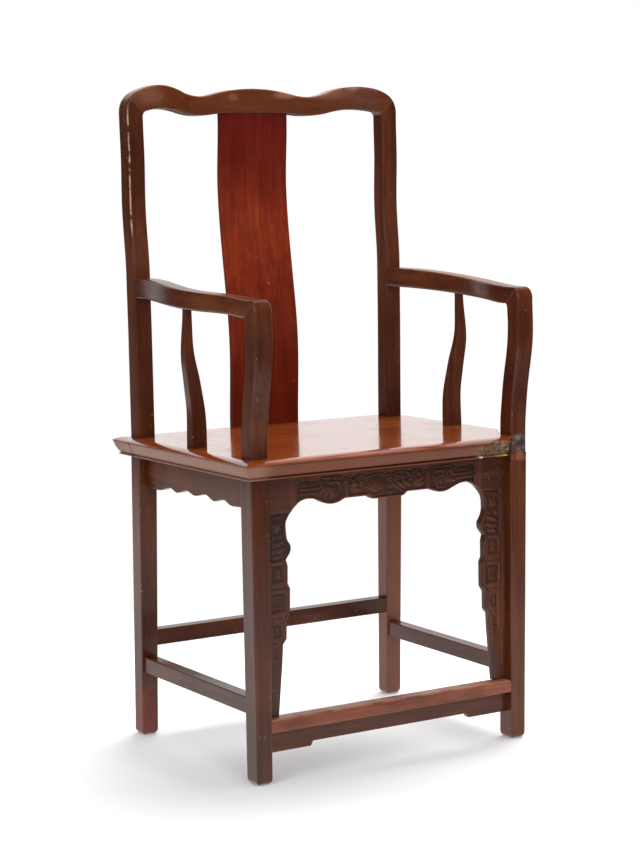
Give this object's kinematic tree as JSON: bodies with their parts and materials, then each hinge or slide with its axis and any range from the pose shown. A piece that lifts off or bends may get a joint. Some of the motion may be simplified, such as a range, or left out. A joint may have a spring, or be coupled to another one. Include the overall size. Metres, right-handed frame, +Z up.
{
  "type": "official hat armchair",
  "caption": "Straight-backed wooden armchair with an arched crest rail that turns down into the back posts, curved arms, a curved splat, a framed hard seat and a carved front apron.",
  "frame": {"origin": "on the floor, under the centre of the chair's bounding box in plan", "axes": "+Z up, the chair faces -Y, +X is to the right as one stands facing the chair"},
  "size_m": [0.5556, 0.4731, 1.0723],
  "materials": {
    "frame_wood": "polished, with worn edges",
    "splice_wood": "satin",
    "splat_wood": "polished, reddish",
    "seat_wood": "high polish",
    "underside_wood": "unpolished",
    "apron_wood": "satin, dark in the recesses",
    "footrest_wood": "worn by feet, satin",
    "nail_metal": "dull, flush heads"
  },
  "bodies": {
    "root": {"front_leg_left": "frame_wood", "front_leg_right": "frame_wood", "back_leg_left": "frame_wood", "back_leg_right": "frame_wood", "back_left_foot_splice": "splice_wood", "crest_rail": "frame_wood", "back_splat": "splat_wood", "arm_rail_left": "frame_wood", "arm_rail_right": "frame_wood", "side_post_left": "frame_wood", "side_post_right": "frame_wood", "seat_front_rail": "seat_wood", "seat_side_rail_left": "seat_wood", "seat_side_rail_right": "seat_wood", "seat_rear_rail": "seat_wood", "seat_panel": "seat_wood", "seat_batten_left": "underside_wood", "seat_batten_right": "underside_wood", "front_apron": "apron_wood", "front_spandrel_left": "apron_wood", "front_spandrel_right": "apron_wood", "side_apron_left": "apron_wood", "side_apron_right": "apron_wood", "rear_apron": "apron_wood", "footrest_rail": "footrest_wood", "footrest_apron": "apron_wood", "side_stretcher_left": "frame_wood", "side_stretcher_right": "frame_wood", "rear_stretcher": "frame_wood", "side_apron_nails": "nail_metal"}
  },
  "joints": []
}
